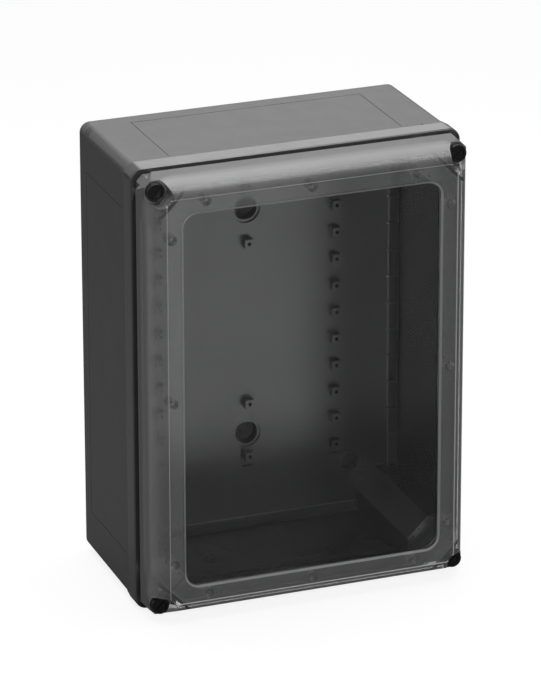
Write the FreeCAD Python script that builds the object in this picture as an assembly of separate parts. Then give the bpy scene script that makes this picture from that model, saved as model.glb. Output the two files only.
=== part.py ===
import FreeCAD, Part
import os
from math import cos, atan, sqrt, radians, tan

# Wall enclosure moulded in polycarbonate: a deep base, and a clear lid held by
# four quarter-turn bolts. All sizes are in millimetres. While the pieces are
# made, X is to the right, Y is depth measured back from the front of the lid,
# and Z is up from mid-height. At the end they all move together, so that the
# origin is the middle of the bottom.

# Base, outside
RIM_WIDTH = 297.0
RIM_HEIGHT = 400.0
RIM_DEPTH = 18.4
RIM_CORNER_R = 11.0
RIM_EDGE = 1.0
LIP_WIDTH = 1.5
GUTTER_DEPTH = 2.5
BODY_INSET = 1.7
BODY_DEPTH = 118.4
BODY_DRAFT = 0.01
BODY_CORNER_R = 9.0
STRIP_HEIGHT = 0.9
STRIP_DEPTH = 6.0
STRIP_LENGTH = 26.0

# Shallow outlines of the cable entry panels on the four sides
PANEL_FRONT_MARGIN = 7.0
PANEL_REAR_MARGIN = 16.0
SIDE_PANEL_HALF = 157.8
END_PANEL_HALF = 105.3
OUTLINE_WIDTH = 0.7
OUTLINE_DEPTH = 0.4

# Base, inside
WALL = 5.8
FLOOR = 4.0
FLOOR_FILLET_R = 8.0
REAR_SKIRT_DEPTH = 11.4
REAR_SKIRT_WALL = 3.5
COLLAR_DEPTH = 24.4
COLLAR_BEVEL_DEPTH = 5.5

# Seal between lid and base
SEAL_INSET = 6.0
SEAL_TO_BOLT = 14.0
SEAL_BEND_R = 6.0
TONGUE_WIDTH = 1.8
TONGUE_HEIGHT = 14.6
TONGUE_SIDE_GAP = 0.6
GASKET_DEPTH = 3.0
GASKET_SIDE_GAP = 0.1
SEAL_REST_GAP = 0.1
CHANNEL_WALL = 1.2
CHANNEL_BACK = 2.0
SEAL_WALL = 2.4

# Lid
RIM_GAP = 12.6
LID_SIDE_INSET = 0.3
LID_END_OVERHANG = 0.6
LID_DEPTH = 27.0
LID_SLOPE_DEG = 24.8
LID_WALL = 2.8
LID_CORNER_R = 11.0
SHOULDER_R = 8.0
PLATEAU_INSET = 17.9
PLATEAU_STEP = 0.8
PLATEAU_CORNER_R = 8.0
FRAME_WIDTH = 12.9
BEVEL_WIDTH = 2.0
BEVEL_DEPTH = 1.7
WINDOW_CORNER_R = 14.0
FRAME_CORNER_CUT = 10.0
LID_BOSS_R = 4.5
LID_BOSS_HOLE_R = 1.5
LID_BOSS_HOLE_DEPTH = 8.0
LID_BOSS_BACK = 14.0
LID_BOSS_INSET = 22.9
LID_BOSS_TO_CORNER = 53.8

# Lock bolts and the lid pockets they sit in
BOLT_INSET = 13.4
HEAD_SINK = 12.4
HEAD_R = 8.4
HEAD_FRONT_R = 7.6
HEAD_DEPTH = 5.0
HEAD_CUP_R = 5.6
HEAD_CUP_DEPTH = 1.5
DRIVE_SLOT_LENGTH = 10.0
DRIVE_SLOT_WIDTH = 1.6
DRIVE_SLOT_DEPTH = 1.8
DRIVE_ANGLE_DEG = 45.0
SHANK_R = 4.0
SHANK_CLEARANCE = 0.08
LUG_R = 6.6
LUG_WIDTH = 5.0
LUG_DEPTH = 3.0
SHANK_PAST_LUGS = 1.0
LUG_CLEARANCE = 0.4
POCKET_GAP = 2.2
POCKET_WALL = 2.6
POCKET_FLOOR = 3.0
SLEEVE_REACH = 9.3
SLEEVE_BACK = 9.6
KEY_PLATE_DEPTH = 5.0
CLIP_GAP = 0.3
CLIP_DEPTH = 1.0
CLIP_R = 6.0
CLIP_GROOVE_R = 3.1
CLIP_MOUTH = 5.0
CLIP_CLEARANCE = 0.1

# Corner posts of the base
POST_REACH = 32.1
POST_WALL = 3.0
POST_REAR_GAP = 2.0
LEDGE_HEIGHT = 2.5
LEDGE_TO_BOLT = 17.2
LEDGE_SLOPE_LENGTH = 2.6
STEP_HEIGHT = 0.4
STEP_TO_BOLT = 23.4
POST_HOLE_R = 0.9
POST_HOLE_DEPTH = 4.0
POST_HOLE_INSET = 2.6
POST_HOLE_PITCH = 8.4

# Bosses on the floor, in three columns
BOSS_SIZE = 8.0
BOSS_HEIGHT = 7.5
BOSS_HOLE_R = 1.75
BOSS_HOLE_DEPTH = 9.0
BOSS_COLUMN_X = 81.7
BOSS_PITCH = 25.0
BOSS_ROWS = 11
BAR_LENGTH = 9.0
BAR_WIDTH = 1.5
BAR_HEIGHT = 3.0
BAR_DROP = 10.7
STUD_R = 3.0
STUD_HEIGHT = 3.0
STUD_X = 109.0
STUD_Z = 159.0

# Wells in the floor with the outlines of knock-out fixing keyholes
CENTRE_WELL_Z = 105.0
CENTRE_WELL_R = 10.4
CORNER_WELL_X = 97.0
CORNER_WELL_Z = 146.5
CORNER_WELL_R = 8.8
WELL_RIM_WIDTH = 2.4
WELL_RIM_DEPTH = 2.0
WELL_WALL = 2.2
WELL_BOTTOM = 2.0
KEYHOLE_HEAD_R = 4.7
KEYHOLE_SLOT_R = 2.5
KEYHOLE_LENGTH = 6.5
KEYHOLE_LINE = 0.7
KEYHOLE_LINE_DEPTH = 0.6

# Ribs in the angle of floor and wall, and notches inside the rim
RIB_WIDTH = 1.5
RIB_REACH = 10.0
RIB_HEIGHT = 10.0
NOTCH_SIZE = 1.8
NOTCH_DEPTH = 1.2
NOTCH_SPREAD = 10.0
NOTCH_TO_COLLAR_BACK = 2.5

# Depths of the main levels, counted back from the front of the lid
RIM_Y = LID_DEPTH + RIM_GAP
BODY_Y = RIM_Y + RIM_DEPTH
REAR_Y = BODY_Y + BODY_DEPTH
FLOOR_BACK_Y = REAR_Y - REAR_SKIRT_DEPTH
FLOOR_Y = FLOOR_BACK_Y - FLOOR
COLLAR_Y = RIM_Y + COLLAR_DEPTH
GUTTER_Y = RIM_Y + GUTTER_DEPTH
KEY_PLATE_BACK_Y = GUTTER_Y + KEY_PLATE_DEPTH
TONGUE_FRONT_Y = RIM_Y - TONGUE_HEIGHT
GASKET_BACK_Y = TONGUE_FRONT_Y - SEAL_REST_GAP
GASKET_FRONT_Y = GASKET_BACK_Y - GASKET_DEPTH
POCKET_FLOOR_Y = HEAD_SINK + HEAD_DEPTH
SLEEVE_BACK_Y = LID_DEPTH + SLEEVE_BACK
LUG_FRONT_Y = KEY_PLATE_BACK_Y + LUG_CLEARANCE
LUG_BACK_Y = LUG_FRONT_Y + LUG_DEPTH
CLIP_FRONT_Y = SLEEVE_BACK_Y + CLIP_GAP
LID_INSIDE_Y = PLATEAU_STEP + LID_WALL
POST_BACK_Y = REAR_Y - POST_REAR_GAP

# Half sizes and places that several pieces share
RIM_X = RIM_WIDTH / 2
RIM_Z = RIM_HEIGHT / 2
BODY_X = RIM_X - BODY_INSET
BODY_Z = RIM_Z - BODY_INSET
LID_X = RIM_X - LID_SIDE_INSET
LID_Z = RIM_Z + LID_END_OVERHANG
BOLT_X = RIM_X - BOLT_INSET
BOLT_Z = RIM_Z - BOLT_INSET
LID_SLOPE = tan(radians(LID_SLOPE_DEG))
PLATEAU_X = LID_X - PLATEAU_INSET
PLATEAU_Z = LID_Z - PLATEAU_INSET
FRAME_X = PLATEAU_X - FRAME_WIDTH
FRAME_Z = PLATEAU_Z - FRAME_WIDTH
TONGUE_INSIDE = -TONGUE_WIDTH / 2
TONGUE_OUTSIDE = TONGUE_WIDTH / 2
PAST = 1.0

CORNERS = {
    "top_left": (-1, 1),
    "top_right": (1, 1),
    "bottom_left": (-1, -1),
    "bottom_right": (1, -1),
}
BACKWARDS = FreeCAD.Vector(0, 1, 0)


def point(x, y, z):
    return FreeCAD.Vector(x, y, z)


def runs_in_depth(edge):
    a, b = edge.Vertexes[0].Point, edge.Vertexes[-1].Point
    return abs(b.y - a.y) > 0.01


def block(half_x, half_z, front, back):
    """Plain box round the depth axis."""
    return Part.makeBox(2 * half_x, back - front, 2 * half_z, point(-half_x, front, -half_z))


def rounded_block(half_x, half_z, front, back, corner_r):
    box = block(half_x, half_z, front, back)
    return box.makeFillet(corner_r, [e for e in box.Edges if runs_in_depth(e)])


def tapered_block(half_x, half_z, front, back, taper, corner_r):
    """Block whose half sizes shrink by taper for each millimetre back; it may grow instead."""
    less = taper * (back - front)
    wedge = Part.makeWedge(-half_x, front, -half_z, less - half_z, less - half_x,
                           half_x, back, half_z, half_z - less, half_x - less)
    return wedge.makeFillet(corner_r, [e for e in wedge.Edges if runs_in_depth(e)])


def body_block(outset, front, back, corner_r):
    """The body's drafted outer form between two depths, grown or shrunk by outset."""
    lost = BODY_DRAFT * (front - BODY_Y)
    half_x = BODY_X - lost + outset
    half_z = BODY_Z - lost + outset
    return tapered_block(half_x, half_z, front, back, BODY_DRAFT, corner_r)


def rod(x, z, radius, front, back):
    return Part.makeCylinder(radius, back - front, point(x, front, z), BACKWARDS)


def cut_outline(half_x, half_z, turn_x, turn_z):
    """Corners of a rectangle whose own corners are cut; turn_x and turn_z are where the cuts end."""
    return [(half_x, -turn_z), (half_x, turn_z), (turn_x, half_z), (-turn_x, half_z),
            (-half_x, turn_z), (-half_x, -turn_z), (-turn_x, -half_z), (turn_x, -half_z)]


def prism(outline, front, back):
    """Straight prism on a closed outline of (x, z) points."""
    corners = [point(x, front, z) for x, z in outline]
    face = Part.Face(Part.makePolygon(corners + corners[:1]))
    return face.extrude(point(0, back - front, 0))


def seal_turns(offset):
    """Where the sealing line, grown by offset, turns off the ends and the sides to cut a corner."""
    diagonal = BOLT_X + BOLT_Z + sqrt(2) * (offset - SEAL_TO_BOLT)
    turn_x = diagonal - (RIM_Z - SEAL_INSET + offset)
    turn_z = diagonal - (RIM_X - SEAL_INSET + offset)
    return turn_x, turn_z


def seal_block(offset, front, back):
    """Prism inside the sealing line, which cuts across each corner in front of its bolt."""
    half_x = RIM_X - SEAL_INSET + offset
    half_z = RIM_Z - SEAL_INSET + offset
    turn_x, turn_z = seal_turns(offset)
    solid = prism(cut_outline(half_x, half_z, turn_x, turn_z), front, back)
    return solid.makeFillet(SEAL_BEND_R + offset, [e for e in solid.Edges if runs_in_depth(e)])


def seal_ring(inner, outer, front, back):
    return seal_block(outer, front, back).cut(seal_block(inner, front - PAST, back + PAST))


def octagon_block(side_x, side_z, reach, front, back):
    """Eight-sided prism round a bolt's axis; reach is from the axis to each flat side."""
    half_side = reach * tan(radians(22.5))
    solid = prism(cut_outline(reach, reach, half_side, half_side), front, back)
    return solid.translate(point(side_x * BOLT_X, 0, side_z * BOLT_Z))


def turned(shape, x, z, degrees):
    """Turn a shape clockwise, as seen from the front, about an axis along the depth."""
    return shape.rotate(point(x, 0, z), BACKWARDS, degrees)


def four_corners(x, z):
    return [(side_x * x, side_z * z) for side_x, side_z in CORNERS.values()]


# Base

def boss_places():
    """Centres of the square bosses: full outer columns, and four in the middle column."""
    top = BOSS_PITCH * (BOSS_ROWS - 1) / 2
    rows = [top - BOSS_PITCH * i for i in range(BOSS_ROWS)]
    outer = [(side * BOSS_COLUMN_X, z) for side in (-1, 1) for z in rows]
    middle = [(0.0, side * z) for side in (-1, 1) for z in (top, top - 2 * BOSS_PITCH)]
    return outer + middle


def base_shell():
    """Rim, drafted body and corner strips, opened from the front and hollowed at the rear."""
    rim = rounded_block(RIM_X, RIM_Z, RIM_Y, BODY_Y, RIM_CORNER_R)
    rim = rim.makeChamfer(RIM_EDGE, [e for e in rim.Edges if not runs_in_depth(e)])
    body = body_block(0, BODY_Y - PAST, REAR_Y, BODY_CORNER_R)
    strip_back = BODY_Y + STRIP_DEPTH
    strips = body_block(STRIP_HEIGHT, BODY_Y - PAST, strip_back, BODY_CORNER_R + STRIP_HEIGHT)
    kept_x = RIM_X - STRIP_LENGTH
    kept_z = RIM_Z - STRIP_LENGTH
    strips = strips.cut(block(kept_x, RIM_Z, BODY_Y - 2 * PAST, strip_back + PAST))
    strips = strips.cut(block(RIM_X, kept_z, BODY_Y - 2 * PAST, strip_back + PAST))
    shell = rim.multiFuse([body, strips])

    bevel_y = COLLAR_Y + COLLAR_BEVEL_DEPTH
    inside = body_block(-WALL, BODY_Y, FLOOR_Y, BODY_CORNER_R)
    inside = inside.makeFillet(FLOOR_FILLET_R, [e for e in inside.Edges
                                                if e.BoundBox.YMin > FLOOR_Y - 0.01])
    collar = seal_block(TONGUE_INSIDE, RIM_Y - PAST, COLLAR_Y)
    half_x = RIM_X - SEAL_INSET + TONGUE_INSIDE
    half_z = RIM_Z - SEAL_INSET + TONGUE_INSIDE
    bevel_taper = (half_x - (BODY_X - WALL)) / COLLAR_BEVEL_DEPTH
    bevel = tapered_block(half_x, half_z, COLLAR_Y, bevel_y, bevel_taper, BODY_CORNER_R)
    hollow = body_block(-REAR_SKIRT_WALL, FLOOR_BACK_Y, REAR_Y + PAST, BODY_CORNER_R)
    return shell.cut([inside, collar, bevel, hollow])


def base_posts():
    """Corner posts, which carry the key plates and are cored from the rear."""
    limit = body_block(0, RIM_Y, POST_BACK_Y, BODY_CORNER_R)
    return [octagon_block(sx, sz, POST_REACH, RIM_Y, POST_BACK_Y).common(limit)
            for sx, sz in CORNERS.values()]


def post_ledges():
    """Sloped ledge and low step on each post's front, beside the sealing tongue."""
    outline = [(SEAL_TO_BOLT, -LEDGE_HEIGHT), (LEDGE_TO_BOLT, -LEDGE_HEIGHT),
               (LEDGE_TO_BOLT + LEDGE_SLOPE_LENGTH, -STEP_HEIGHT), (STEP_TO_BOLT, -STEP_HEIGHT),
               (STEP_TO_BOLT, PAST), (SEAL_TO_BOLT, PAST)]
    ledges = []
    for side_x, side_z in CORNERS.values():
        corners = [point(-side_x * d, RIM_Y + y, 0) for d, y in outline]
        face = Part.Face(Part.makePolygon(corners + corners[:1]))
        bar = face.extrude(point(0, 0, 2 * POST_REACH)).translate(point(0, 0, -POST_REACH))
        bar = bar.rotate(point(0, 0, 0), BACKWARDS, side_x * side_z * 45)
        bar = bar.translate(point(side_x * BOLT_X, 0, side_z * BOLT_Z))
        bar = bar.common(octagon_block(side_x, side_z, POST_REACH, TONGUE_FRONT_Y, BODY_Y))
        ledges.append(bar.common(seal_block(0, TONGUE_FRONT_Y, BODY_Y)))
    return ledges


def post_cores():
    limit = body_block(-POST_WALL, KEY_PLATE_BACK_Y, REAR_Y + PAST, BODY_CORNER_R - POST_WALL)
    reach = POST_REACH - POST_WALL
    return [octagon_block(sx, sz, reach, KEY_PLATE_BACK_Y, REAR_Y + PAST).common(limit)
            for sx, sz in CORNERS.values()]


def wells():
    """Places and radii of the round wells in the floor, with the way each keyhole points."""
    centre = [(0.0, side * CENTRE_WELL_Z, CENTRE_WELL_R, side) for side in (-1, 1)]
    corner = [(x, z, CORNER_WELL_R, 1 if z > 0 else -1)
              for x, z in four_corners(CORNER_WELL_X, CORNER_WELL_Z)]
    return centre + corner


def keyhole_outline(x, z, way, grow, front, back):
    """Keyhole: a round head with a narrower slot towards the top or bottom of the box."""
    head = rod(x, z - way * KEYHOLE_LENGTH / 2, KEYHOLE_HEAD_R + grow, front, back)
    end_z = z + way * KEYHOLE_LENGTH / 2
    end = rod(x, end_z, KEYHOLE_SLOT_R + grow, front, back)
    low = min(end_z, end_z - way * KEYHOLE_LENGTH)
    half = KEYHOLE_SLOT_R + grow
    slot = Part.makeBox(2 * half, back - front, KEYHOLE_LENGTH, point(x - half, front, low))
    return head.multiFuse([end, slot])


def base_additions():
    """Everything that stands on the shell's floor, walls and rim."""
    solids = []
    for x, z in boss_places():
        corner = point(x - BOSS_SIZE / 2, FLOOR_Y - BOSS_HEIGHT, z - BOSS_SIZE / 2)
        solids.append(Part.makeBox(BOSS_SIZE, BOSS_HEIGHT + FLOOR / 2, BOSS_SIZE, corner))
    bar_z = BOSS_PITCH * (BOSS_ROWS - 1) / 2 + BAR_DROP
    for x in (-BOSS_COLUMN_X, 0.0, BOSS_COLUMN_X):
        for side in (-1, 1):
            corner = point(x - BAR_LENGTH / 2, FLOOR_Y - BAR_HEIGHT, side * bar_z - BAR_WIDTH / 2)
            solids.append(Part.makeBox(BAR_LENGTH, BAR_HEIGHT + FLOOR / 2, BAR_WIDTH, corner))
    for x, z in four_corners(STUD_X, STUD_Z):
        solids.append(rod(x, z, STUD_R, FLOOR_Y - STUD_HEIGHT, FLOOR_Y + FLOOR / 2))
    for x, z, radius, way in wells():
        solids.append(rod(x, z, radius + WELL_WALL, FLOOR_Y + FLOOR / 2, POST_BACK_Y))
    solids.append(seal_ring(TONGUE_INSIDE, TONGUE_OUTSIDE, TONGUE_FRONT_Y, RIM_Y + PAST))
    return solids


def wall_ribs():
    """Three-cornered ribs in the angle between the floor and the walls."""
    ribs = []
    inside_x = BODY_X - WALL
    inside_z = BODY_Z - WALL
    deep = FLOOR_Y + FLOOR / 2
    for row in range(BOSS_ROWS - 1):
        z = BOSS_PITCH * (BOSS_ROWS - 3) / 2 - BOSS_PITCH * row
        for side in (-1, 1):
            foot = [point(side * (inside_x - RIB_REACH), FLOOR_Y, z - RIB_WIDTH / 2),
                    point(side * (inside_x + WALL / 2), FLOOR_Y - RIB_HEIGHT, z - RIB_WIDTH / 2),
                    point(side * (inside_x + WALL / 2), deep, z - RIB_WIDTH / 2),
                    point(side * (inside_x - RIB_REACH), deep, z - RIB_WIDTH / 2)]
            face = Part.Face(Part.makePolygon(foot + foot[:1]))
            ribs.append(face.extrude(point(0, 0, RIB_WIDTH)))
    for side in (-1, 1):
        foot = [point(-RIB_WIDTH / 2, FLOOR_Y, side * (inside_z - RIB_REACH)),
                point(-RIB_WIDTH / 2, FLOOR_Y - RIB_HEIGHT, side * (inside_z + WALL / 2)),
                point(-RIB_WIDTH / 2, deep, side * (inside_z + WALL / 2)),
                point(-RIB_WIDTH / 2, deep, side * (inside_z - RIB_REACH))]
        face = Part.Face(Part.makePolygon(foot + foot[:1]))
        ribs.append(face.extrude(point(RIB_WIDTH, 0, 0)))
    return ribs


def base_cuts():
    """Holes, wells, gutter, keyways and notches."""
    cuts = []
    for x, z in boss_places():
        front = FLOOR_Y - BOSS_HEIGHT
        cuts.append(rod(x, z, BOSS_HOLE_R, front - PAST, front + BOSS_HOLE_DEPTH))
    bottom = POST_BACK_Y - WELL_BOTTOM
    for x, z, radius, way in wells():
        cuts.append(rod(x, z, radius, FLOOR_Y - PAST, bottom))
        cuts.append(rod(x, z, radius + WELL_RIM_WIDTH, FLOOR_Y - PAST, FLOOR_Y + WELL_RIM_DEPTH))
        groove = keyhole_outline(x, z, way, 0, bottom - PAST, bottom + KEYHOLE_LINE_DEPTH)
        cuts.append(groove.cut(keyhole_outline(x, z, way, -KEYHOLE_LINE, bottom - 2 * PAST,
                                               bottom + KEYHOLE_LINE_DEPTH + PAST)))
    lip_x = RIM_X - LIP_WIDTH
    lip_z = RIM_Z - LIP_WIDTH
    gutter = rounded_block(lip_x, lip_z, RIM_Y - PAST, GUTTER_Y, RIM_CORNER_R - LIP_WIDTH)
    cuts.append(gutter.cut(seal_block(TONGUE_OUTSIDE, RIM_Y - 2 * PAST, GUTTER_Y + PAST)))
    for x, z in four_corners(BOLT_X, BOLT_Z):
        cuts.append(rod(x, z, SHANK_R + LUG_CLEARANCE, RIM_Y, KEY_PLATE_BACK_Y + PAST))
        cuts.append(lug_bar(x, z, LUG_CLEARANCE, RIM_Y, KEY_PLATE_BACK_Y + PAST))
    for side_x, side_z in CORNERS.values():
        diagonal = (BOLT_X + BOLT_Z) / sqrt(2) - POST_REACH + POST_HOLE_INSET
        middle_z = (sqrt(2) * diagonal + BOLT_Z - BOLT_X) / 2
        middle_x = sqrt(2) * diagonal - middle_z
        for step in (-1, 0, 1):
            along = step * POST_HOLE_PITCH / sqrt(2)
            x = side_x * (middle_x + along)
            z = side_z * (middle_z - along)
            cuts.append(rod(x, z, POST_HOLE_R, RIM_Y - PAST, RIM_Y + POST_HOLE_DEPTH))
    return cuts


def wall_notches():
    """Pairs of small square notches inside the rim, opposite every row of bosses."""
    notches = []
    half_x = RIM_X - SEAL_INSET + TONGUE_INSIDE
    centre_y = COLLAR_Y - NOTCH_TO_COLLAR_BACK
    top = BOSS_PITCH * (BOSS_ROWS - 1) / 2
    for row in range(BOSS_ROWS):
        for spread in (-NOTCH_SPREAD / 2, NOTCH_SPREAD / 2):
            z = top - BOSS_PITCH * row + spread
            for side in (-1, 1):
                inner = side * (half_x + (NOTCH_DEPTH - PAST) / 2)
                corner = point(inner - (NOTCH_DEPTH + PAST) / 2, centre_y - NOTCH_SIZE / 2,
                               z - NOTCH_SIZE / 2)
                notches.append(Part.makeBox(NOTCH_DEPTH + PAST, NOTCH_SIZE, NOTCH_SIZE, corner))
    return notches


def panel_outlines():
    """Thin grooves that outline a panel on each of the four outer sides."""
    front = BODY_Y + PANEL_FRONT_MARGIN
    back = REAR_Y - PANEL_REAR_MARGIN
    inner_back = back - OUTLINE_WIDTH
    core = body_block(-OUTLINE_DEPTH, front - PAST, back + PAST, BODY_CORNER_R - OUTLINE_DEPTH)
    sides = block(RIM_X, SIDE_PANEL_HALF, front, back)
    sides = sides.cut(block(RIM_X + PAST, SIDE_PANEL_HALF - OUTLINE_WIDTH, front - PAST, inner_back))
    ends = block(END_PANEL_HALF, RIM_Z, front, back)
    ends = ends.cut(block(END_PANEL_HALF - OUTLINE_WIDTH, RIM_Z + PAST, front - PAST, inner_back))
    return [sides.cut(core), ends.cut(core)]


def make_base():
    base = base_shell().multiFuse(base_posts() + post_ledges() + base_additions() + wall_ribs())
    return base.cut(post_cores() + base_cuts() + wall_notches() + panel_outlines())


# Lid

def lid_block(offset, front, back):
    """The lid's sloped outer form, or with a negative offset the form of its inside."""
    sideways = offset / cos(atan(LID_SLOPE))
    half_x = LID_X - LID_SLOPE * (LID_DEPTH - front) + sideways
    half_z = LID_Z - LID_SLOPE * (LID_DEPTH - front) + sideways
    solid = tapered_block(half_x, half_z, front, back, -LID_SLOPE, LID_CORNER_R + offset)
    front_edges = [e for e in solid.Edges if e.BoundBox.YMax < front + 0.01]
    return solid.makeFillet(SHOULDER_R + offset, front_edges)


def inside_corner_flats():
    """Prism that trims the lid's corners flush with the outer flats of the bolts' sleeves."""
    half_x = LID_X + PAST
    half_z = LID_Z + PAST
    diagonal = BOLT_X + BOLT_Z + sqrt(2) * SLEEVE_REACH
    outline = cut_outline(half_x, half_z, diagonal - half_z, diagonal - half_x)
    return prism(outline, -PAST, LID_DEPTH + PAST)


def lid_boss_places():
    end_x = LID_X - LID_BOSS_TO_CORNER
    end_z = LID_Z - LID_BOSS_TO_CORNER
    rows = [(x, side * (LID_Z - LID_BOSS_INSET)) for side in (-1, 1) for x in (-end_x, 0.0, end_x)]
    columns = [(side * (LID_X - LID_BOSS_INSET), z) for side in (-1, 1) for z in (-end_z, 0.0, end_z)]
    return rows + columns


def window_bevel():
    """Slope from the frame down to the window, with corners cut straight outside and round inside."""
    back = PLATEAU_STEP + BEVEL_DEPTH
    outer = cut_outline(FRAME_X, FRAME_Z, FRAME_X - FRAME_CORNER_CUT, FRAME_Z - FRAME_CORNER_CUT)
    half_x = FRAME_X - BEVEL_WIDTH
    half_z = FRAME_Z - BEVEL_WIDTH
    r = WINDOW_CORNER_R
    mid = r * (1 - sqrt(0.5))
    edges = []
    for sx, sz in ((1, 1), (-1, 1), (-1, -1), (1, -1)):
        first = point(sx * half_x, back, sz * (half_z - r))
        last = point(sx * (half_x - r), back, sz * half_z)
        if sx != sz:
            first, last = last, first
        arc = Part.Arc(first, point(sx * (half_x - mid), back, sz * (half_z - mid)), last).toShape()
        edges.append((first, arc, last))
    loop = []
    for i, (first, arc, last) in enumerate(edges):
        loop += [arc, Part.makeLine(last, edges[(i + 1) % 4][0])]
    corners = [point(x, PLATEAU_STEP, z) for x, z in outer[1:] + outer[:1]]
    return Part.makeLoft([Part.makePolygon(corners + corners[:1]), Part.Wire(loop)], True, True)


def corner_ribs():
    """Ribs that close off each bolt's corner, from the ends of the seal's diagonal to the skirt."""
    turn_x, turn_z = seal_turns(0)
    half = SEAL_WALL / 2
    ribs = []
    for side_x, side_z in CORNERS.values():
        low_z = min(side_z * LID_Z, side_z * (RIM_Z - SEAL_INSET))
        ribs.append(Part.makeBox(2 * half, LID_DEPTH - PLATEAU_STEP, LID_END_OVERHANG + SEAL_INSET,
                                 point(side_x * turn_x - half, PLATEAU_STEP, low_z)))
        low_x = min(side_x * LID_X, side_x * (RIM_X - SEAL_INSET))
        ribs.append(Part.makeBox(SEAL_INSET - LID_SIDE_INSET, LID_DEPTH - PLATEAU_STEP, 2 * half,
                                 point(low_x, PLATEAU_STEP, side_z * turn_z - half)))
    return ribs


def make_lid():
    outside = lid_block(0, 0, LID_DEPTH).common(inside_corner_flats())
    shell = outside.cut(lid_block(-LID_WALL, LID_INSIDE_Y, LID_DEPTH + PAST))

    window_back = LID_INSIDE_Y + BEVEL_DEPTH
    window_x = FRAME_X - BEVEL_WIDTH
    window_z = FRAME_Z - BEVEL_WIDTH
    parts = [rounded_block(window_x, window_z, PLATEAU_STEP, window_back, WINDOW_CORNER_R)]

    groove_half = TONGUE_WIDTH / 2 + TONGUE_SIDE_GAP
    channel_front = GASKET_FRONT_Y - CHANNEL_BACK
    wall = seal_ring(-SEAL_WALL / 2, SEAL_WALL / 2, PLATEAU_STEP + PAST, GASKET_FRONT_Y)
    channel = seal_ring(-groove_half - CHANNEL_WALL, groove_half + CHANNEL_WALL, channel_front, LID_DEPTH)
    pocket_r = HEAD_R + POCKET_GAP
    for x, z in four_corners(BOLT_X, BOLT_Z):
        tube = rod(x, z, pocket_r + POCKET_WALL, PLATEAU_STEP + PAST, POCKET_FLOOR_Y + POCKET_FLOOR)
        parts.append(tube.common(outside))
    for side_x, side_z in CORNERS.values():
        parts.append(octagon_block(side_x, side_z, SLEEVE_REACH, POCKET_FLOOR_Y, SLEEVE_BACK_Y))
    for x, z in lid_boss_places():
        parts.append(rod(x, z, LID_BOSS_R, PLATEAU_STEP + PAST, LID_BOSS_BACK))
    ribs = [rib.common(outside) for rib in corner_ribs()]
    lid = shell.multiFuse(parts + ribs + [wall.common(outside), channel.common(outside)])

    cuts = [rounded_block(PLATEAU_X, PLATEAU_Z, -PAST, PLATEAU_STEP, PLATEAU_CORNER_R),
            window_bevel(),
            seal_ring(-groove_half, groove_half, GASKET_FRONT_Y, LID_DEPTH + PAST)]
    for x, z in four_corners(BOLT_X, BOLT_Z):
        cuts.append(rod(x, z, pocket_r, -PAST, POCKET_FLOOR_Y))
        cuts.append(rod(x, z, SHANK_R + SHANK_CLEARANCE, 0, SLEEVE_BACK_Y + PAST))
    for x, z in lid_boss_places():
        cuts.append(rod(x, z, LID_BOSS_HOLE_R, LID_BOSS_BACK - LID_BOSS_HOLE_DEPTH, LID_BOSS_BACK + PAST))
    return lid.cut(cuts)


def make_gasket():
    half = TONGUE_WIDTH / 2 + TONGUE_SIDE_GAP - GASKET_SIDE_GAP
    return seal_ring(-half, half, GASKET_FRONT_Y, GASKET_BACK_Y)


# Quarter-turn bolts and the clips that keep them in the lid

def lug_bar(x, z, grow, front, back):
    """Bar across the bolt's axis, in line with the drive slot."""
    half_length = LUG_R + grow
    half_width = LUG_WIDTH / 2 + grow
    corner = point(x - half_length, front, z - half_width)
    bar = Part.makeBox(2 * half_length, back - front, 2 * half_width, corner)
    return turned(bar, x, z, -DRIVE_ANGLE_DEG)


def make_bolt(x, z):
    head = Part.makeCone(HEAD_FRONT_R, HEAD_R, HEAD_DEPTH, point(x, HEAD_SINK, z), BACKWARDS)
    shank = rod(x, z, SHANK_R, POCKET_FLOOR_Y - PAST, LUG_BACK_Y + SHANK_PAST_LUGS)
    lugs = lug_bar(x, z, 0, LUG_FRONT_Y, LUG_BACK_Y).common(rod(x, z, LUG_R, LUG_FRONT_Y, LUG_BACK_Y))
    cup_y = HEAD_SINK + HEAD_CUP_DEPTH
    cup = rod(x, z, HEAD_CUP_R, HEAD_SINK - PAST, cup_y)
    slot_corner = point(x - DRIVE_SLOT_LENGTH / 2, HEAD_SINK, z - DRIVE_SLOT_WIDTH / 2)
    slot = Part.makeBox(DRIVE_SLOT_LENGTH, HEAD_CUP_DEPTH + DRIVE_SLOT_DEPTH, DRIVE_SLOT_WIDTH, slot_corner)
    groove = rod(x, z, SHANK_R + PAST, CLIP_FRONT_Y, CLIP_FRONT_Y + CLIP_DEPTH + CLIP_GAP)
    groove = groove.cut(rod(x, z, CLIP_GROOVE_R, CLIP_FRONT_Y - PAST, LUG_FRONT_Y))
    return head.multiFuse([shank, lugs]).cut([cup, turned(slot, x, z, -DRIVE_ANGLE_DEG), groove])


def make_clip(x, z):
    """Open ring that snaps into the shank's groove behind the lid's sleeve."""
    front = CLIP_FRONT_Y + CLIP_GAP / 2
    back = front + CLIP_DEPTH
    ring = rod(x, z, CLIP_R, front, back)
    bore = rod(x, z, CLIP_GROOVE_R + CLIP_CLEARANCE, front - PAST, back + PAST)
    mouth_corner = point(x - CLIP_MOUTH / 2, front - PAST, z)
    mouth = Part.makeBox(CLIP_MOUTH, CLIP_DEPTH + 2 * PAST, 2 * CLIP_R, mouth_corner)
    return ring.cut([bore, turned(mouth, x, z, DRIVE_ANGLE_DEG)])


# Finished pieces

def single_solid(shape):
    merged = shape.removeSplitter()
    return merged.Solids[0] if len(merged.Solids) == 1 else merged


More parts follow.
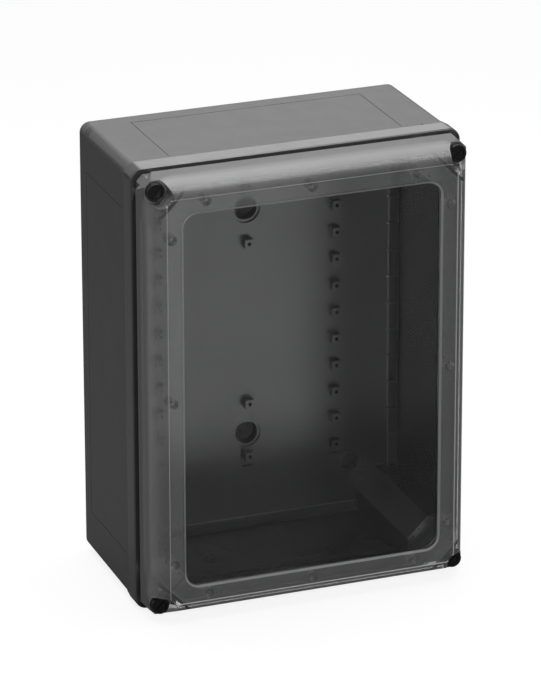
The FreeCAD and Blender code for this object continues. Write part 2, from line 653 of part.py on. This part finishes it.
pieces = {"base": make_base(), "lid": make_lid(), "lid_gasket": make_gasket()}
for corner_name, (side_x, side_z) in CORNERS.items():
    pieces["lock_bolt_" + corner_name] = make_bolt(side_x * BOLT_X, side_z * BOLT_Z)
    pieces["bolt_clip_" + corner_name] = make_clip(side_x * BOLT_X, side_z * BOLT_Z)

to_bottom_centre = point(0, -REAR_Y / 2, LID_Z)
os.makedirs("parts", exist_ok=True)
for name, shape in pieces.items():
    solid = single_solid(shape)
    solid.translate(to_bottom_centre)
    solid.exportStep("parts/" + name + ".step")
    box = solid.BoundBox
    print(name, "solids", len(solid.Solids), "valid", solid.isValid(), "volume", round(solid.Volume),
          "x", round(box.XMin, 2), round(box.XMax, 2), "y", round(box.YMin, 2), round(box.YMax, 2),
          "z", round(box.ZMin, 2), round(box.ZMax, 2))
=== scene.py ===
import bpy
from mathutils import Matrix, Vector

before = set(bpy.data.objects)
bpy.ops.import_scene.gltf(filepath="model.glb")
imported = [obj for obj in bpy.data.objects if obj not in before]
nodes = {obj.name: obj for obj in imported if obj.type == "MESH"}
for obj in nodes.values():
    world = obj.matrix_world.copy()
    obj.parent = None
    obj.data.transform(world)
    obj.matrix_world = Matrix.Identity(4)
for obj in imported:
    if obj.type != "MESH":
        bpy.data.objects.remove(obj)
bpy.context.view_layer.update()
scene = bpy.context.scene

CORNERS = ("top_left", "top_right", "bottom_left", "bottom_right")

# Levels of the CAD frame that the lid's finish follows, in metres
FRONT_Y = -0.0882
MIDDLE_Z = 0.2006
PLATEAU_X = 0.1303
PLATEAU_Z = 0.1827
PLATEAU_CORNER = 0.008
FRAME_X = 0.1174
FRAME_Z = 0.1698
FRAME_CORNER = 0.014
BEVEL = 0.002
BLEND = 0.0003

# Distances past the plateau at which the lid's slopes change, in metres; across them haze, coat and tint paint
# the shoulder's shading, lighter across its middle and darker at its outer edge
SHOULDER = (0.003, 0.013)
OUTER_EDGE = (0.013, 0.0155)
OUTER_SHADE_SPAN = (0.0125, 0.0155)

# The lid's haze, the share of it that isn't clear; its rise across the shoulder paints shading, and its lines
# paint highlights
FRAME_HAZE = 0.09
SHOULDER_HAZE_AND_SHADING = (0.16, 0.40)
OUTER_HAZE_SHADE_RISE = 0.30
HIGHLIGHT_LINE_HAZE = 0.7
BEVEL_HIGHLIGHT_SHARE = 0.5

# The lid's coat, its index of refraction and its colours; the shoulder's coat rise paints a sheen, and the outer
# edge's coat fall and dark tint paint shade
WINDOW_COAT = 0.1
FRAME_COAT_RISE = 0.3
SHOULDER_COAT_SHEEN_RISE = 0.45
OUTER_COAT_SHADE_FALL = -0.35
COAT_ROUGHNESS = 0.18
LID_IOR = 1.15
WINDOW_DARK = (0.84, 0.845, 0.845, 1)
WINDOW_LIGHT = (0.88, 0.885, 0.885, 1)
SLOPE_TINT = (0.62, 0.62, 0.62, 1)
OUTER_EDGE_PAINTED_SHADE = (0.25, 0.25, 0.25, 1)

# Where the base is polished, each as the place where the finish changes, in metres
FLANGE_FRONT = (-0.0491, -0.0490)
FLANGE_BACK = (-0.0300, -0.0299)
HOLLOW_SIDE = (0.1450, 0.1454)
HOLLOW_UP = (0.1962, 0.1966)
HOLLOW_BACK = (0.0760, 0.0765)
POLISH = 0.22

# The bend between the hollow's floor and walls, and the wells in the floor, which are rougher and carry painted
# shade that darkens them
BEND_SIDE = (0.1330, 0.1345)
BEND_UP = (0.1840, 0.1855)
BEND_FRONT = (0.0650, 0.0660)
BEND_DULL_AND_SHADE = 3.0
WELLS_SIDE = (0.1350, 0.1355)
WELLS_UP = (0.1850, 0.1855)
WELLS_FRONT = (0.0770, 0.0775)
WELLS_DULL_AND_SHADE = 1.5
PAINTED_SHADE_LEVEL = 0.3

# How much of the white surroundings a reflection shows, and the levels of floor and world
GLOSS_FLOOR = 0.04
GLOSS_WORLD = 0.46
FLOOR_HALF = 6.0
FLOOR_LIFT = 0.87
WORLD_DIM = ((0.97, 0.985, 1.0, 1), 0.095)
WORLD_WHITE = ((0.8, 0.8, 0.8, 1), 1.0)


# Node helpers

class Graph:
    """The node tree of a material or a world, with short calls for the nodes that this scene uses."""

    def __init__(self, owner, output="OutputMaterial"):
        owner.use_nodes = True
        self.tree = owner.node_tree
        self.tree.nodes.clear()
        self.output = self.node(output)

    def node(self, kind, **settings):
        made = self.tree.nodes.new("ShaderNode" + kind)
        for key, value in settings.items():
            setattr(made, key, value)
        return made

    def feed(self, socket, value):
        if isinstance(value, bpy.types.NodeSocket):
            self.tree.links.new(value, socket)
        else:
            socket.default_value = value

    def math(self, operation, a, b=0.0, clamp=False):
        made = self.node("Math", operation=operation, use_clamp=clamp)
        self.feed(made.inputs[0], a)
        self.feed(made.inputs[1], b)
        return made.outputs[0]

    def plus(self, first, *others):
        for other in others:
            first = self.math("ADD", first, other)
        return first

    def times(self, first, *others):
        for other in others:
            first = self.math("MULTIPLY", first, other)
        return first

    def ramp(self, value, low, high, start=0.0, end=1.0):
        """Value carried smoothly from the range low..high to start..end."""
        made = self.node("MapRange", interpolation_type="SMOOTHSTEP")
        for socket, number in zip(made.inputs, (value, low, high, start, end)):
            self.feed(socket, number)
        return made.outputs[0]

    def below(self, value, low, high):
        """1 where the value is below low, and 0 above high."""
        return self.ramp(value, low, high, 1, 0)

    def place(self):
        return self.node("TexCoord").outputs["Object"]

    def noise(self, scale, detail=2.0, roughness=0.5):
        made = self.node("TexNoise")
        self.feed(made.inputs["Vector"], self.place())
        made.inputs["Scale"].default_value = scale
        made.inputs["Detail"].default_value = detail
        made.inputs["Roughness"].default_value = roughness
        return made.outputs["Fac"]

    def mix(self, factor, a, b):
        """Colour a where the factor is 0, and b where it is 1."""
        made = self.node("Mix", data_type="RGBA")
        self.feed(made.inputs[0], factor)
        self.feed(made.inputs[6], a)
        self.feed(made.inputs[7], b)
        return made.outputs[2]

    def bump(self, height, distance):
        made = self.node("Bump")
        made.inputs["Strength"].default_value = 1.0
        made.inputs["Distance"].default_value = distance
        self.feed(made.inputs["Height"], height)
        return made.outputs[0]

    def middle_out(self):
        """Distances from the lid's middle to the sides and to the ends, and the depth."""
        made = self.node("SeparateXYZ")
        self.feed(made.inputs[0], self.place())
        x, y, z = made.outputs
        return self.math("ABSOLUTE", x), self.math("ABSOLUTE", self.math("SUBTRACT", z, MIDDLE_Z)), y

    def outside_of(self, side, up, half_x, half_z, corner):
        """Distance past a rounded rectangle round the lid's middle, less than 0 within it."""
        past_x = self.math("MAXIMUM", self.math("SUBTRACT", side, half_x - corner), 0.0)
        past_z = self.math("MAXIMUM", self.math("SUBTRACT", up, half_z - corner), 0.0)
        squares = self.plus(self.times(past_x, past_x), self.times(past_z, past_z))
        return self.math("SUBTRACT", self.math("SQRT", squares), corner)

    def shader(self, **sockets):
        made = self.node("BsdfPrincipled")
        for name, value in sockets.items():
            self.feed(made.inputs[name.replace("_", " ")], value)
        self.feed(self.output.inputs["Surface"], made.outputs[0])


def grey(value):
    return (value, value, value * 1.01, 1)


# Materials

def moulded_plastic(name, dark, light, roughness, grain, specular=0.5, finish_and_shade=None):
    """Moulded plastic: faint mottle in the colour and fine grain in the surface.

    finish_and_shade gives 1 where the plastic has a polish, and less than 0 where it is rougher and darkened
    with painted shade.
    """
    material = bpy.data.materials.new(name)
    g = Graph(material)
    mottle = g.noise(18, 3)
    fine = g.noise(2600, 2, 0.6)
    pores = g.noise(900, 1)
    height = g.plus(fine, g.times(pores, 0.6))
    colour = g.mix(g.ramp(mottle, 0.3, 0.7), grey(dark), grey(light))
    rough = g.ramp(g.noise(45, 3), 0.3, 0.7, roughness - 0.02, roughness + 0.02)
    if finish_and_shade:
        polish_and_shade = finish_and_shade(g)
        # Painted shade: below 0 the colour darkens towards a shade of the dark grey
        painted_shade = g.math("MULTIPLY", polish_and_shade, -PAINTED_SHADE_LEVEL, clamp=True)
        colour = g.mix(painted_shade, colour, grey(dark * PAINTED_SHADE_LEVEL))
        rough = g.math("SUBTRACT", rough, g.times(polish_and_shade, POLISH))
        height = g.times(height, g.math("SUBTRACT", 1.0, polish_and_shade, clamp=True))
    g.shader(Base_Color=colour, Roughness=rough, IOR=1.58, Specular_IOR_Level=specular,
             Normal=g.bump(height, grain))
    return material


def base_finish_and_shade(g):
    """The base has a polish in its hollow and on the strip behind the rim, and is rougher with painted shade in
    the bend and the wells.
    """
    side, up, y = g.middle_out()
    strip = g.times(g.ramp(y, *FLANGE_FRONT), g.below(y, *FLANGE_BACK))
    hollow = g.times(g.below(side, *HOLLOW_SIDE), g.below(up, *HOLLOW_UP), g.below(y, *HOLLOW_BACK))
    # Painted shade in the bend and the wells, carried as values below 0
    bend = g.times(g.math("MAXIMUM", g.ramp(side, *BEND_SIDE), g.ramp(up, *BEND_UP)), hollow)
    bend = g.times(bend, g.ramp(y, *BEND_FRONT), BEND_DULL_AND_SHADE)
    wells = g.times(g.below(side, *WELLS_SIDE), g.below(up, *WELLS_UP), g.ramp(y, *WELLS_FRONT), WELLS_DULL_AND_SHADE)
    polish_and_shade = g.math("MAXIMUM", strip, hollow)
    return g.math("SUBTRACT", polish_and_shade, g.math("MAXIMUM", bend, wells))


def edge_highlights(g, past_frame, past_plateau, y):
    """Painted highlights on the lid's front, in thin strips along the window's bevel and round the plateau."""
    front = g.below(y, FRONT_Y + 0.0030, FRONT_Y + 0.0032)
    bevel = g.times(g.ramp(past_frame, -BEVEL - BLEND, -BEVEL + BLEND), g.below(past_frame, -BLEND, BLEND))
    plateau = g.times(g.ramp(past_plateau, -0.0006, -0.0001), g.below(past_plateau, 0.0001, 0.0006))
    return g.times(g.math("MAXIMUM", g.times(bevel, BEVEL_HIGHLIGHT_SHARE), plateau), front)


def clear_lid():
    """Smoke-clear plastic: clean window, hazy frame round it with a painted highlight on the bevel, hazier
    slopes outside with painted shading.
    """
    material = bpy.data.materials.new("lid_clear")
    g = Graph(material)
    side, up, y = g.middle_out()
    past_frame = g.outside_of(side, up, FRAME_X, FRAME_Z, FRAME_CORNER)
    past_plateau = g.outside_of(side, up, PLATEAU_X, PLATEAU_Z, PLATEAU_CORNER)
    slopes = g.ramp(past_plateau, -BLEND, BLEND)
    frame_ring = g.math("SUBTRACT", g.ramp(past_frame, -BLEND, BLEND), slopes)

    sparkle = g.noise(1500, 2)
    ripple = g.noise(14, 2)
    height = g.plus(g.times(sparkle, frame_ring, 0.4), g.times(ripple, 0.08))
    rough = g.plus(g.times(frame_ring, 0.06), 0.04, g.ramp(g.noise(60, 3), 0.45, 0.8, 0, 0.03))

    tint_and_edge_shade = g.mix(g.ramp(g.noise(7, 2), 0.3, 0.7), WINDOW_DARK, WINDOW_LIGHT)
    tint_and_edge_shade = g.mix(slopes, tint_and_edge_shade, SLOPE_TINT)
    # Painted shade: the tint darkens towards the slopes' outer edge
    tint_and_edge_shade = g.mix(g.ramp(past_plateau, *OUTER_SHADE_SPAN), tint_and_edge_shade, OUTER_EDGE_PAINTED_SHADE)

    # Painted shading: the haze rises across the shoulder, lighter in its middle, and again at the outer edge
    slope_haze_and_shading = g.plus(g.ramp(past_plateau, *SHOULDER, *SHOULDER_HAZE_AND_SHADING),
                        g.ramp(past_plateau, *OUTER_EDGE, 0, OUTER_HAZE_SHADE_RISE))
    haze_and_painted_light = g.plus(g.times(frame_ring, FRAME_HAZE), g.times(slopes, slope_haze_and_shading))
    # Painted highlights: the haze rises in thin strips along the bevel and the plateau's edge
    highlight_lines = g.times(edge_highlights(g, past_frame, past_plateau, y), HIGHLIGHT_LINE_HAZE)
    haze_and_painted_light = g.math("ADD", haze_and_painted_light, highlight_lines, clamp=True)

    # Painted sheen and shade: the coat rises across the shoulder and falls at its outer edge
    coat_and_painted_sheen = g.plus(g.times(frame_ring, FRAME_COAT_RISE),
                  g.ramp(past_plateau, *SHOULDER, 0, SHOULDER_COAT_SHEEN_RISE),
                  g.ramp(past_plateau, *OUTER_EDGE, 0, OUTER_COAT_SHADE_FALL), WINDOW_COAT)
    g.shader(Base_Color=tint_and_edge_shade, Roughness=rough, IOR=LID_IOR, Normal=g.bump(height, 0.0001),
             Transmission_Weight=g.math("SUBTRACT", 1.0, haze_and_painted_light), Coat_Weight=coat_and_painted_sheen, Coat_Roughness=COAT_ROUGHNESS)
    return material


def dress(names, material):
    for name in names:
        slots = nodes[name].data.materials
        if not slots:
            slots.append(material)
        for i in range(len(slots)):
            slots[i] = material


# Floor, world, lamps and camera

def seen_white(g, gloss):
    """1 for camera rays and rays through glass, gloss for reflected ones, 0 for the light on rough surfaces."""
    rays = g.node("LightPath").outputs
    seen = g.times(rays["Is Glossy Ray"], gloss)
    seen = g.math("MAXIMUM", seen, rays["Is Camera Ray"])
    seen = g.math("MAXIMUM", seen, rays["Is Transmission Ray"])
    return g.times(seen, g.math("LESS_THAN", rays["Diffuse Depth"], 0.5))


def pale_floor():
    """Grey card under the lamps, seen lifted to white with the object's faint shadow."""
    material = bpy.data.materials.new("floor_pale")
    g = Graph(material)
    card = g.node("BsdfDiffuse")
    g.feed(card.inputs["Color"], g.mix(g.noise(3, 2), grey(0.19), grey(0.21)))
    lift = g.node("Emission")
    g.feed(lift.inputs["Strength"], g.times(seen_white(g, GLOSS_FLOOR), FLOOR_LIFT))
    both = g.node("AddShader")
    g.feed(both.inputs[0], card.outputs[0])
    g.feed(both.inputs[1], lift.outputs[0])
    g.feed(g.output.inputs[0], both.outputs[0])
    material.cycles.emission_sampling = "NONE"
    return material


def make_floor():
    mesh = bpy.data.meshes.new("floor")
    corners = [(x * FLOOR_HALF, y * FLOOR_HALF, 0) for x, y in ((-1, -1), (1, -1), (1, 1), (-1, 1))]
    mesh.from_pydata(corners, [], [(0, 1, 2, 3)])
    mesh.materials.append(pale_floor())
    floor = bpy.data.objects.new("floor", mesh)
    scene.collection.objects.link(floor)


def make_world():
    """Dim surroundings for the light on the object, and pale ones where they are seen."""
    world = bpy.data.worlds.new("studio")
    g = Graph(world, "OutputWorld")
    both = g.node("MixShader")
    g.feed(both.inputs[0], seen_white(g, GLOSS_WORLD))
    for socket, (colour, strength) in zip(both.inputs[1:], (WORLD_DIM, WORLD_WHITE)):
        made = g.node("Background")
        made.inputs["Color"].default_value = colour
        made.inputs["Strength"].default_value = strength
        g.feed(socket, made.outputs[0])
    g.feed(g.output.inputs[0], both.outputs[0])
    world.cycles.sampling_method = "NONE"
    scene.world = world


def softbox(name, place, target, width, height, watts):
    """Rectangular lamp that doesn't show to rays through the lid."""
    lamp = bpy.data.lights.new(name, "AREA")
    lamp.shape = "RECTANGLE"
    lamp.size = width
    lamp.size_y = height
    lamp.energy = watts
    made = bpy.data.objects.new(name, lamp)
    made.location = place
    made.rotation_euler = (Vector(target) - Vector(place)).to_track_quat("-Z", "Y").to_euler()
    made.visible_transmission = False
    scene.collection.objects.link(made)


def make_camera():
    """Camera at the photograph's place, as a fit of the object's outline gives it."""
    lens = bpy.data.cameras.new("camera")
    lens.sensor_fit = "HORIZONTAL"
    lens.sensor_width = 36
    lens.lens = 329.27
    lens.clip_end = 50
    camera = bpy.data.objects.new("camera", lens)
    right = Vector((0.93331962, -0.35904228, -0.00176641))
    up = Vector((0.13363291, 0.34280003, 0.92985503))
    back = Vector((-0.33325175, -0.868088, 0.36792186))
    place = Vector((-1.423652, -3.694043, 1.767472))
    turn = Matrix((right, up, back)).transposed().to_4x4()
    camera.matrix_world = Matrix.Translation(place) @ turn
    scene.collection.objects.link(camera)
    scene.camera = camera


dress(["base"], moulded_plastic("base_grey", 0.070, 0.075, 0.45, 0.00012, 1.0, base_finish_and_shade))
gasket_foam = moulded_plastic("gasket_foam", 0.012, 0.02, 0.8, 0.0003)
bolt_black = moulded_plastic("bolt_black", 0.004, 0.007, 0.32, 0.00006, 0.35)
clip_black = moulded_plastic("clip_black", 0.010, 0.015, 0.5, 0.0001)
dress(["lid"], clear_lid())
dress(["lid_gasket"], gasket_foam)
dress(["lock_bolt_" + corner for corner in CORNERS], bolt_black)
dress(["bolt_clip_" + corner for corner in CORNERS], clip_black)

make_floor()
make_world()
softbox("top_softbox", (0.1, 0.15, 2.0), (0, 0, 0.3), 1.8, 1.4, 30)
softbox("back_softbox", (0.85, 2.2, 1.35), (0, 0, 0.38), 1.2, 0.9, 4)
softbox("front_softbox", (-0.6, -2.5, 1.4), (0, 0, 0.2), 1.2, 1.0, 24)
make_camera()

scene.view_settings.view_transform = "Standard"
